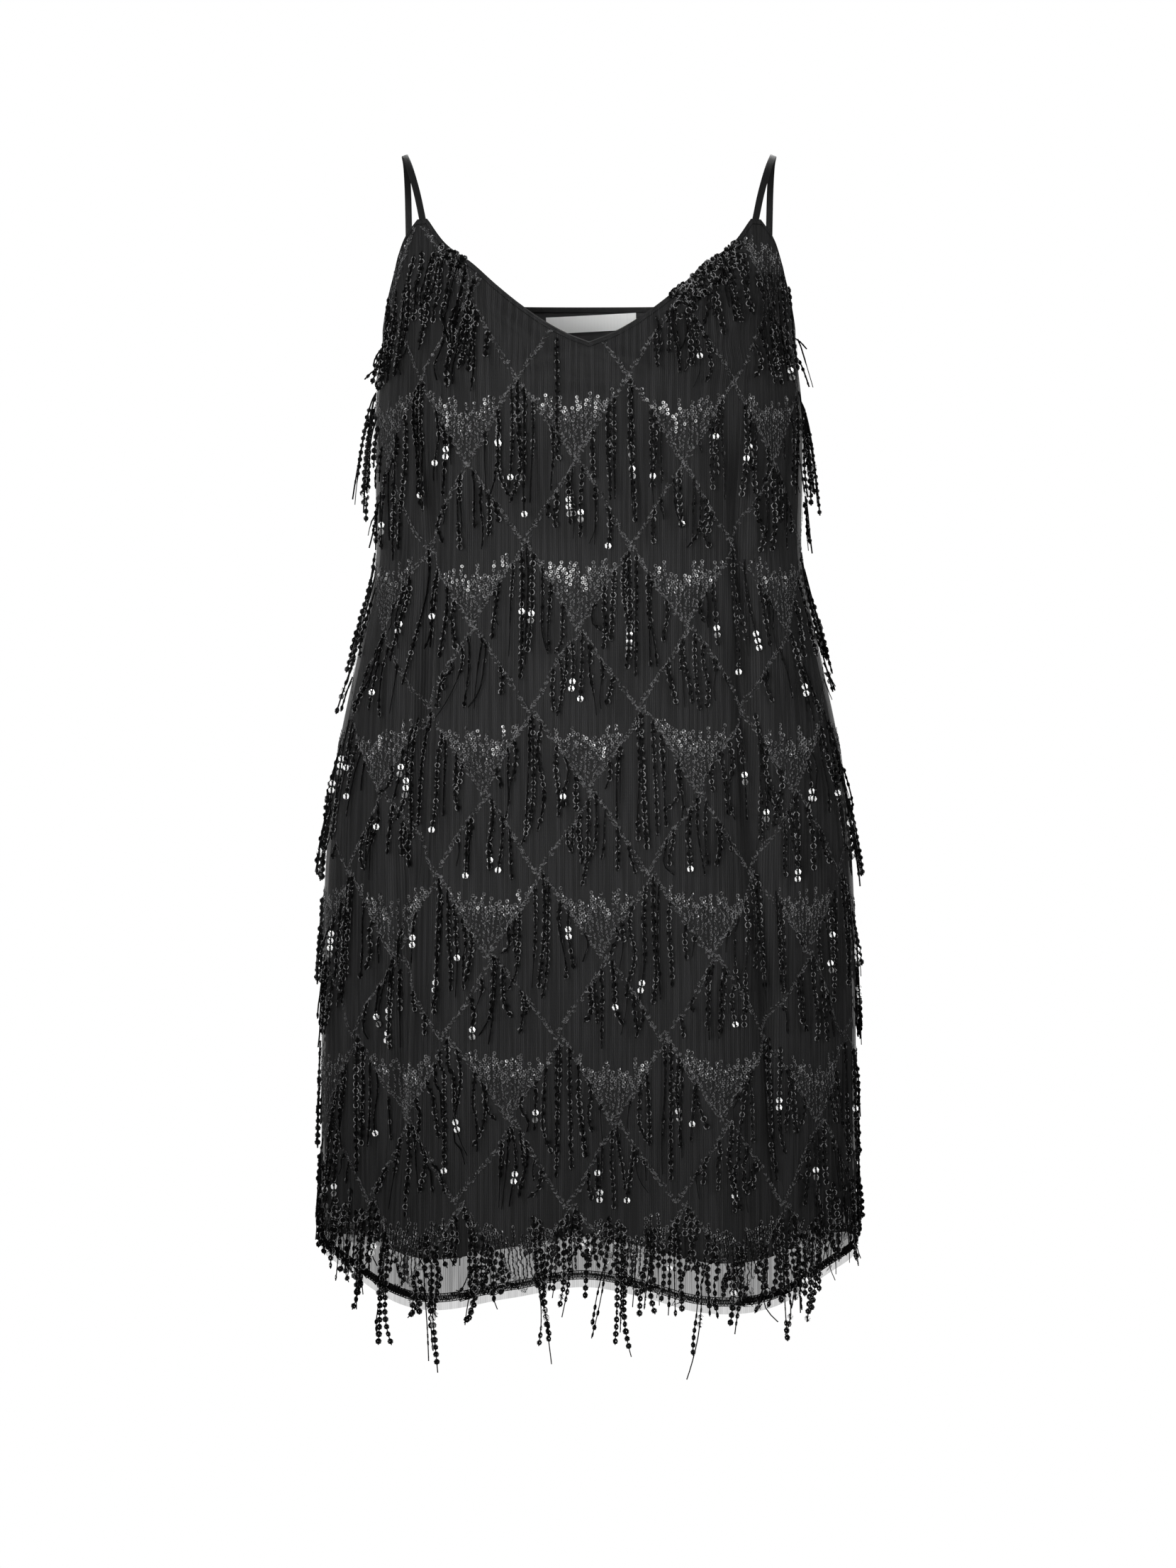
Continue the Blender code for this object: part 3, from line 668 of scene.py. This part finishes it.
def strandPath(form, share, drop, end, lean, tail, sway):
    # points down a strand, straight or on the cloth where that stands out, and how many have sequins
    count = max(int((end - drop) / strand["pitch"]), 2)
    drops = drop + strand["pitch"] * np.arange(count + 1)
    down = np.arange(count + 1) / count
    root = form.at(share, drop, strand["out"])
    outEnd = draw.uniform(*strand["outEnd"])
    sideFrom, chest, chestTimes, skirt, skirtTimes = strand["outSide"]
    if abs(share) > sideFrom:
        outEnd *= chestTimes if drop < chest else skirtTimes if drop > skirt else 1
    shares = np.array([form.towards(root[0], root[1], d) for d in drops])
    wall = form.at(shares, drops, strand["out"] + outEnd * down ** 0.7)
    behind = np.hypot(wall[:, 0], wall[:, 1]) < math.hypot(root[0], root[1])
    path = np.where(behind[:, None], [root[0], root[1], 0], wall)
    path[:, 2] = -drops
    facing = form.outward(shares, drops)
    sideways = np.cross(facing, [0, 0, 1])
    lean, wave = sway + draw.gauss(0, lean), draw.gauss(0, strand["wave"])
    hookedFrom, more = strand["hookedSide"]
    hooked = draw.random() < strand["hooked"] * (more if abs(share) > hookedFrom else 1)
    hook = draw.choice((-1, 1)) * draw.uniform(*strand["hook"]) if hooked else 0
    bend = np.clip((down - strand["hookFrom"]) / (1 - strand["hookFrom"]), 0, 1) ** 2
    path += sideways * (lean * down ** 1.6 + wave * np.sin(down * draw.uniform(2, 7)) + hook * bend)[:, None]
    if tail is None:
        last = max(count - draw.randint(2, 6), 1) if draw.random() < strand["bareTail"] else count
    else:
        last = max(count - int(tail / strand["pitch"]), 1)
        swing = draw.choice((-1, 1)) * strand["tailSwing"] * tail
        path += sideways * (swing * np.clip(np.arange(count + 1) / last - 1, 0, 1) ** 2)[:, None]
    return path, facing, last


def pickGlints(last, drop):
    # sequins on a strand given a painted glint in full, and those below them a painted half glint
    glint, halfLit = np.zeros(last, bool), np.zeros(last, bool)
    chance = strand["glintsTop"] + (strand["glintsHem"] - strand["glintsTop"]) * (drop - 0.15) / 0.7
    if last > 5 and drop > strand["glintBelow"] and draw.random() < chance:
        first = draw.randint(last // 3, last - 1)
        past = first + draw.choice(strand["glintRuns"])
        glint[first:past] = True
        halfLit[past:past + draw.choice((0, 0, 1, 1))] = True
    return glint, halfLit


def hangStrand(heap, form, share, drop, end, lean=strand["lean"], tail=None, sway=0.0):
    # sequins on a thread; tail is the length of its bare end
    path, facing, last = strandPath(form, share, drop, end, lean, tail, sway)
    heavy = drop < strand["heavyAbove"] or end > strand["heavyBelow"]
    core = np.full(len(path), strand["coreHem" if end > strand["heavyBelow"] else "core"])
    core[last + 1:] = strand["thread"] * (1.4 if tail else 1.0)
    heap.tube(path, facing, core, 0)
    middles = (path[:last] + path[1:last + 1]) / 2
    along = unit(path[1:last + 1] - path[:last])
    turn = draw.gauss(0, 0.35 if heavy else 0.6) + draw.gauss(0, 0.12) * np.arange(last)
    turn += gausses(0.25, last)
    out = facing[:last]
    normal = out * np.cos(turn)[:, None] + np.cross(along, out) * np.sin(turn)[:, None]
    glint, halfLit = pickGlints(last, drop)
    for lit, rest in ((glint, 0.12), (halfLit, 0.5)):
        normal[lit] = np.array([0, form.face, 0]) + normal[lit] * rest
    for place, down, way in zip(middles[glint], along[glint], unit(normal[glint])):
        slash = unit(down + np.cross(way, down) * draw.uniform(0.4, 1.0)) * strand["slash"]
        ends = place + way * 0.0006 + np.linspace(-1, 1, 3)[:, None] * slash
        heap.tube(ends, np.tile(way, (3, 1)), strand["thread"], 0)
    sizes = strand["sequin"] * draw.uniform(0.98 if heavy else 0.76, 1.04) * uniforms(0.92, 1.04, last)
    sizes = np.where(glint | halfLit, strand["sequin"], sizes)
    # glints and half-lit sequins take finishes with painted highlights
    for chosen, slot in ((~glint & ~halfLit, 1), (glint, 2), (halfLit, 4)):
        heap.stamp(sequinShape, middles[chosen], along[chosen], normal[chosen], sizes[chosen], slot)


def stitchLegs(heap, form, apex, top):
    # two lines of chain stitch along both legs below an apex
    for side in (-1, 1):
        dx = side * np.linspace(0.0, lattice["half"], lattice["legSteps"])
        share, drop, inside = legPoint(form, apex, top, dx)
        for offset, tilt in lattice["lines"]:
            shareHere = np.clip(share + offset / form.girthAt(drop), -1, 1)
            path = form.at(shareHere, drop + gausses(lattice["stitchVaries"], len(dx)), lattice["rise"])
            out = form.outward(shareHere, drop)
            turns = tilt + gausses(lattice["stitchTurn"], len(dx))
            along = turned(unit(np.gradient(path, axis=0)), out, turns)
            keep = inside & (uniforms(0, 1, len(dx)) < lattice["sewn"])
            sizes = lattice["stitch"] * uniforms(0.7, 1.25, int(keep.sum()))
            heap.stamp(linkShape, path[keep], along[keep], out[keep], sizes, 3)


def hangInside(heap, form, share, drop, inside, end, lean):
    # a strand, where there is cloth and room for it
    if inside and end - drop > strand["shortest"]:
        hangStrand(heap, form, share, drop, end, lean)


def hangRow(heap, form, row, apex, top):
    # a row's strands, longest below the apex
    if form.face == front and (row == -2 or row == -1 and abs(apex) < neckFringe["bare"]):
        return
    roots, spread, reach, rise = strand["top" if row == -2 else "short" if row % 2 else "long"]
    lean = strand["lean"] + strand["leanGrows"] * max(row, 0) / lattice["lastRow"]
    for dx in np.linspace(-spread, spread, roots):
        dx += draw.gauss(0, strand["rootVaries"])
        share, drop, inside = legPoint(form, apex, top, dx)
        if row == -2:
            drop = np.maximum(drop, form.edgeDrop(share) + 0.003)
            inside = abs(share) < 0.98
        end = top + reach - rise * abs(dx) / spread + draw.uniform(-1, 1) * strand["endVaries"]
        hangInside(heap, form, share, drop, inside, end, lean)


def heapOnEdge(heap, form, firstX, lastX, count, reach):
    # sequins caught over the neckline, fewer further down
    for _ in range(count):
        share = form.shareOfX(draw.uniform(firstX, lastX), 0.085)
        drop = form.edgeDrop(share) - 0.0015 + reach * draw.random() ** 1.7
        place = form.at(share, drop, draw.uniform(0.0015, 0.0035))[None]
        out = form.outward(share, drop) + np.array([draw.gauss(0, 0.6), 0, draw.gauss(0, 0.6)])
        along = unit(np.array([[draw.gauss(0, 1), 0, draw.gauss(0, 1)]]))
        heap.stamp(sequinShape, place, along, out[None], strand["sequin"] * 0.9, 1)


def hangNeckline(heap, form):
    # heavy strands on each side of the front's neckline, a thin one near the middle, and heaps
    for first, last, start, end, count in neckFringe["clumps"]:
        for x in np.linspace(first, last, count):
            share = form.shareOfX(float(x) + draw.gauss(0, 0.0012), 0.1)
            drop = max(start, form.edgeDrop(share) + 0.002) + draw.uniform(0, 0.006)
            hangStrand(heap, form, share, drop, end + draw.uniform(-1, 1) * neckFringe["varies"])
    middle = neckFringe["middle"]
    share = middle["x"] / form.girthAt(middle["drop"])
    hangStrand(heap, form, share, middle["drop"], middle["end"], 0.001, 0)
    for edge in neckFringe["heaps"]:
        heapOnEdge(heap, form, *edge)


def hangHem(heap, form, apex, top):
    # the last row hangs in clumps that end about the hem
    for clump in hemFringe["clumps"]:
        reach = draw.choice(hemFringe["reaches"])
        for step in (-1, 0, 1):
            dx = clump * lattice["half"] + step * hemFringe["clumpWidth"] + draw.gauss(0, 0.0006)
            share, drop, inside = legPoint(form, apex, top, dx)
            end = form.hemDrop(share) + reach + draw.uniform(-1, 1) * hemFringe["varies"]
            hangInside(heap, form, share, drop, inside, end, hemFringe["lean"])


def hangBelowHem(heap, form):
    # clumps that reach well below the hem, some with a strand that ends in bare thread
    for x, reach, strands, tail in hemFringe["below"]:
        share = form.shareOfX(-x * form.face, 0.84)
        hem = form.hemDrop(share)
        start, sway = hem - draw.uniform(*hemFringe["from"]), draw.gauss(0, 0.005)
        for step in range(strands):
            here = share + (step - (strands - 1) / 2) * hemFringe["clumpWidth"] / form.girthAt(hem)
            bare = tail if step == strands - 1 else 0
            end = hem + reach * (1 - 0.22 * (step % 2)) + bare * 0.6
            here, above = here + draw.gauss(0, 0.002), start + draw.uniform(0, 0.006)
            hangStrand(heap, form, here, above, end, 0.0008, bare, sway)


def hangHemSides(heap, form):
    # strands crowd together where the cloth turns away at the sides
    first, limit = hemFringe["sideFrom"], hemLines[form.face][-1][0]
    for side in (-1, 1):
        for arc in np.arange(first, limit - lattice["seamMargin"], hemFringe["sideStep"]):
            share = side * (arc + draw.gauss(0, 0.0012)) / limit
            hem = form.hemDrop(share)
            reach = draw.uniform(-0.004, 0.016) - 0.026 * (arc - first) / (limit - first)
            hangStrand(heap, form, share, hem - draw.uniform(0.045, 0.075), hem + reach, hemFringe["lean"])


def makeFringeRow(form, row):
    # one row, with the half rows above the first and below the last
    heap, last = Heap(), lattice["lastRow"]
    for each in {-1: (-2, -1), last: (last, last + 1)}.get(row, (row,)):
        apexes, top = rowApexes(form, each)
        for apex in apexes:
            stitchLegs(heap, form, apex, top)
            if each < last:
                hangRow(heap, form, each, apex, top)
            elif each == last:
                hangHem(heap, form, apex, top)
    if row == last:
        hangBelowHem(heap, form)
        hangHemSides(heap, form)
    if row == -1 and form.face == front:
        hangNeckline(heap, form)
    heap.finish(f"fringe{form.name}{row + 2:02d}",
                [threadFinish, sequinFinish, paintedGlintFinish, stitchFinish, halfLitFinish],
                f"fringe_{form.name.lower()}_{row + 2:02d}")


for form in forms.values():
    for row in range(-1, lattice["lastRow"] + 1):
        makeFringeRow(form, row)
print("fringe hung")

field = {
    "columns": 13, "columnGap": 0.0031, "stitch": 0.003, "link": 0.0018, "rise": 0.0007,
    "topMiddle": 0.017, "topSide": 0.008, "topVaries": 0.007, "hemMargin": 0.009, "ringDepth": 0.019,
    "ring": 0.00142, "hemThread": 0.00042, "ringRun": (1, 5),
    # chances by row that runs of rings get a painted highlight, falling off away from the middle
    "brightRings": {-2: 0.1, 0: 0.85, 2: 0.95, 4: 0.45, 6: 0.2, 8: 0.12, 10: 0.0},
    "brightX": 0.11, "brightWidth": 0.024,
}


def fillDiamond(heap, form, row, foot, top):
    # rows of chain stitch and small sequins in the lower half of a diamond, with a few runs of rings given a
    # painted highlight
    glintChance = field["brightRings"][row] * draw.uniform(0.6, 1.3) * math.exp(-(foot / field["brightX"]) ** 2)
    middle = draw.gauss(0, 0.006)
    for column in range(-field["columns"], field["columns"] + 1):
        dx = column * field["columnGap"]
        away = abs(dx) / lattice["half"]
        legDrop = top + lattice["legDrop"] * (1 - away) - 0.0015
        start = top + field["topMiddle"] + (field["topSide"] - field["topMiddle"]) * away
        start += draw.uniform(-1, 1) * field["topVaries"]
        count = int((legDrop - start) / field["stitch"])
        if count < 1:
            continue
        arc, drop = wandered(foot + dx, legDrop - field["stitch"] * np.arange(count))
        share, inside = onCloth(form, arc + gausses(0.0005, count), drop, field["hemMargin"])
        if not inside.any():
            continue
        share, drop = share[inside], drop[inside]
        places, out = form.at(share, drop, field["rise"]), form.outward(share, drop)
        along = turned(np.tile([0.0, 0.0, -1.0], (len(drop), 1)), out, gausses(0.45, len(drop)))
        ring = (drop < start + field["ringDepth"] * draw.uniform(0.6, 1.1)) & (away < 0.85)
        sizes = field["link"] * uniforms(0.7, 1.15, int((~ring).sum()))
        heap.stamp(linkShape, places[~ring], along[~ring], out[~ring], sizes, 0)
        if row == lattice["lastRow"] and len(places) > 2:
            heap.sew(form, share, drop, lattice["rise"], field["hemThread"], 3)
        # runs of rings that take the finish with a painted highlight
        shines = np.zeros(len(drop), bool)
        if ring.any() and draw.random() < glintChance * bell(dx - middle, field["brightWidth"]):
            lowest = draw.choice(np.flatnonzero(ring).tolist())
            shines[lowest:lowest + draw.randint(*field["ringRun"])] = True
        shines &= ring
        for chosen, slot in ((ring & ~shines, 1), (shines, 2)):
            tilt = gausses(0.25, int(chosen.sum()))[:, None]
            facing = out[chosen] + along[chosen] * tilt + np.cross(out[chosen], along[chosen]) * tilt[::-1]
            heap.stamp(smallRing, places[chosen], along[chosen], facing, field["ring"], slot)


def makeField(form):
    heap = Heap()
    for row in range(-2, lattice["lastRow"] + 1, 2):
        apexes, top = rowApexes(form, row)
        for apex in apexes:
            fillDiamond(heap, form, row, apex + lattice["half"], top)
    heap.finish("sequinField" + form.name, [stitchFinish, ringFinish, litRingFinish, threadFinish])


for form in forms.values():
    makeField(form)
print("sequin fields sewn")

hemStitch = {"rise": 0.0092, "height": 0.003, "pitch": 0.0025, "thread": 0.00058, "border": 0.00042,
             "out": 0.0006, "tangles": 110, "tangle": 0.0028, "tangleOut": 0.0014}
edgeFold = {"columns": (70, 50), "inset": -0.0008, "radius": 0.0009, "stitches": 360, "stitch": 0.0008,
            "stitchDrop": 0.0032, "out": 0.0004}


def makeHemStitch(form):
    # two looping threads between two straight ones, with loose thread tangled in them
    heap = Heap()
    loops = int(2 * hemLines[form.face][-1][0] / hemStitch["pitch"])
    turns = np.arange(loops * 4) / 4
    share = (turns / loops * 2 - 1) * 0.995
    for phase, height in ((0.0, 1.0), (0.5, 0.75)):
        swing = np.sin((turns + phase) * 2 * math.pi) * hemStitch["height"] * height
        drop = form.hemDrop(share) - hemStitch["rise"] + swing
        heap.sew(form, share, drop, hemStitch["out"] * (1 + phase / 2), hemStitch["thread"])
    share = np.linspace(-0.995, 0.995, 200)
    for side in (-1, 1):
        drop = form.hemDrop(share) - hemStitch["rise"] - side * hemStitch["height"]
        heap.sew(form, share, drop, hemStitch["out"], hemStitch["border"])
    for _ in range(hemStitch["tangles"]):
        share = draw.uniform(-0.98, 0.98)
        steps = np.array([[draw.gauss(0, 1), draw.gauss(0, 0.8)] for _ in range(7)]) * hemStitch["tangle"]
        drop = form.hemDrop(share) - hemStitch["rise"] + steps[:, 1]
        here = np.clip(share + steps[:, 0] / form.girthAt(drop), -1, 1)
        heap.sew(form, here, drop, hemStitch["tangleOut"], hemStitch["thread"] * 0.8)
    heap.finish("hemStitch" + form.name, [threadFinish], slotName="overlay_mesh")


def makeEdgeFold(form):
    # the turned edge of overlay and lining along neck and armholes, with its line of stitches
    heap = Heap()
    share = columnShares(form, *edgeFold["columns"])
    heap.sew(form, share, form.edgeDrop(share), edgeFold["inset"], edgeFold["radius"], sides=6)
    dense = np.linspace(-1, 1, edgeFold["stitches"])
    line = form.edgeDrop(dense) + edgeFold["stitchDrop"]
    path, out = form.at(dense, line, edgeFold["out"]), form.outward(dense, line)
    heap.stamp(linkShape, path, unit(np.gradient(path, axis=0)), out, edgeFold["stitch"], 1)
    heap.finish("turnedEdge" + form.name, [strapCloth, threadFinish], slotName="overlay_mesh")


for form in forms.values():
    makeHemStitch(form)
    makeEdgeFold(form)
print("hem and edges stitched")

# each strap's line over the shoulder, as (share of the way, height)
strap = {
    "width": 0.0051, "thick": 0.0013, "topX": 0.1403, "slope": math.radians(20), "points": 60, "sides": 14,
    "inset": -0.00125, "frontLine": ((0.16, -0.038), (0.45, -0.015), (0.78, -0.0025), (1.0, 0.0)),
    "backLine": ((0.3, -0.0035), (0.66, -0.019), (0.88, -0.045), (0.97, -0.075)),
}


def strapEnds(side):
    ends = []
    for face, form in forms.items():
        (x0, drop), (x1, _) = upperEdges[face]["neck"][-1], upperEdges[face]["arm"][0]
        point = form.at(side * form.shareOfX((x0 + x1) / 2, drop), drop, strap["inset"])
        ends.append(Vector((point[0], point[1], -drop + dressForm["seamGap"])))
    return ends


def makeStrap(side, name, node):
    start, end = strapEnds(side)
    path = [start]
    for share, height in strap["frontLine"]:
        x = abs(start.x) + (strap["topX"] - abs(start.x)) * math.sin(share * math.pi / 2)
        path.append(Vector((side * x, start.y * (1 - share), height)))
    for share, height in strap["backLine"]:
        x = strap["topX"] + (abs(end.x) - strap["topX"]) * share
        path.append(Vector((side * x, end.y * share, height)))
    path.append(end)
    lengths = np.cumsum([0] + [(b - a).length for a, b in zip(path, path[1:])])
    at = np.linspace(0, lengths[-1], strap["points"])
    line = np.stack([curveThrough(lengths, [p[axis] for p in path], at) for axis in range(3)], axis=-1)
    slope = strap["slope"] * np.sin(np.pi * at / lengths[-1])
    across = np.stack([side * np.cos(slope), slope * 0, -np.sin(slope)], axis=-1)
    along = unit(np.gradient(line, axis=0))
    across = unit(across - along * (across * along).sum(axis=1, keepdims=True))
    out = np.cross(along, across)
    angles = np.arange(strap["sides"]) * 2 * math.pi / strap["sides"]
    cos, sin = np.cos(angles), np.sin(angles)
    wide = np.sign(cos) * abs(cos) ** 0.45 * strap["width"] / 2
    thick = np.sign(sin) * abs(sin) ** 0.8 * strap["thick"] / 2
    points = line[:, None] + across[:, None] * wide[:, None] + out[:, None] * thick[:, None]
    quads = gridQuads(len(at), strap["sides"], around=True)
    made = quadObject(name, points, quads, [strapCloth], uvs=(wide, at[:, None]))
    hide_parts(node)


for side, name in sideNames.items():
    makeStrap(side, "strap" + name, "strap_" + name.lower())

binding = {"thick": 0.0006, "columns": 90, "drops": (0.1062, 0.1068, 0.1092, 0.1096),
           "inside": (-0.003, -0.0032, -0.0032, -0.003)}
label = {"width": 0.071, "height": 0.0128, "centre": 0.0015, "drop": 0.1116, "tilt": math.radians(3),
         "thick": 0.0005, "inside": -0.0031, "columns": 48, "rows": 14, "bow": 0.0008}


def slab(name, share, drop, inside, thick, finish, node):
    # a thin closed piece on the inside of the back, between two grids of points
    form = forms[back]
    share, drop = np.broadcast_arrays(share, drop)
    rows, columns = drop.shape
    points = [form.at(share, drop, inside), form.at(share, drop, inside - thick)]
    uvs = [np.stack([each, each]) for each in (share * form.girthAt(drop), -drop)]
    index = np.arange(rows * columns).reshape(rows, columns)
    ring = np.concatenate([index[0], index[1:, -1], index[-1, -2::-1], index[-2:0:-1, 0]])
    following = np.roll(ring, -1)
    rim = np.stack([ring, following, following + index.size, ring + index.size], axis=-1)[:, ::-1]
    quads = np.concatenate([gridQuads(rows, columns, flip=True), gridQuads(rows, columns, index.size), rim])
    made = quadObject(name, points, quads, [finish], uvs=uvs, smooth=False)
    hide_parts(node)
    return made


def makeBinding():
    limit = forms[back].edges["neck"][0][-1]
    drop, inside = np.array(binding["drops"])[:, None], np.array(binding["inside"])[:, None]
    slab("neckBinding", np.linspace(-limit, limit, binding["columns"]), drop, inside, binding["thick"],
         strapCloth, "back_neck_binding")


def makeLabel():
    along = np.linspace(-0.5, 0.5, label["columns"]) * label["width"]
    down = np.linspace(0, 1, label["rows"])[:, None] * label["height"]
    cos, sin = math.cos(label["tilt"]), math.sin(label["tilt"])
    arc, drop = label["centre"] + along * cos + down * sin, label["drop"] - along * sin + down * cos
    bow = np.sin(down / label["height"] * math.pi) * np.sin(along * 60 + 1.5) * label["bow"]
    made = slab("neckLabel", arc / forms[back].girthAt(drop), drop, label["inside"] - abs(bow),
                label["thick"], labelCloth, "neck_label")


makeBinding()
makeLabel()
print("straps, binding and label made")

# lamps as (name, place, height aimed at, size, watts, spread in degrees)
studio = {
    "distance": 3.5, "height": -0.478, "middle": -0.0008, "frameHeight": 1.1945,
    "sensor": 36.0, "ambient": 0.17,
    "lamps": (("key", (-0.45, -1.9, -0.45), -0.3, 0.9, 2.75, 42),
              ("fill", (1.7, -2.0, 0.3), -0.35, 1.4, 18, 180),
              ("over", (-1.2, -1.5, 0.9), -0.4, 1.1, 11, 180),
              ("behind", (0.3, 2.4, 1.2), -0.45, 1.6, 60, 180)),
}


def makeStudio():
    # a white ground that lights the dress only faintly, four lamps and the camera
    world = bpy.data.worlds.new("white studio")
    world.use_nodes = True
    tree = world.node_tree
    backdrop = tree.nodes["Background"]
    backdrop.inputs["Color"].default_value = (1, 1, 1, 1)
    lit = addNode(tree, "ShaderNodeBackground", Color=(1, 1, 1, 1), Strength=studio["ambient"])
    seen, mix = tree.nodes.new("ShaderNodeLightPath"), tree.nodes.new("ShaderNodeMixShader")
    for socket, source in enumerate((seen.outputs["Is Camera Ray"], lit.outputs[0], backdrop.outputs[0])):
        tree.links.new(source, mix.inputs[socket])
    tree.links.new(mix.outputs[0], tree.nodes["World Output"].inputs[0])
    bpy.context.scene.world = world
    for name, place, aimAt, size, power, spread in studio["lamps"]:
        bpy.ops.object.light_add(type="AREA", location=place)
        lamp = bpy.context.object
        lamp.name = name
        lamp.data.size = size
        lamp.data.energy = power
        lamp.data.spread = math.radians(spread)
        aim = Vector((0, 0, aimAt)) - Vector(place)
        lamp.rotation_euler = aim.to_track_quat("-Z", "Y").to_euler()
    bpy.ops.object.camera_add(location=(studio["middle"], -studio["distance"], studio["height"]),
                              rotation=(math.pi / 2, 0, 0))
    camera = bpy.context.object
    camera.data.sensor_fit = "VERTICAL"
    camera.data.sensor_height = studio["sensor"]
    camera.data.lens = studio["sensor"] * studio["distance"] / studio["frameHeight"]
    bpy.context.scene.camera = camera
    bpy.context.scene.view_settings.view_transform = "Standard"


makeStudio()
print("studio set")
print(f"{sum(pieceFaces.values())} triangles, at most {max(pieceFaces.values())} in a piece")
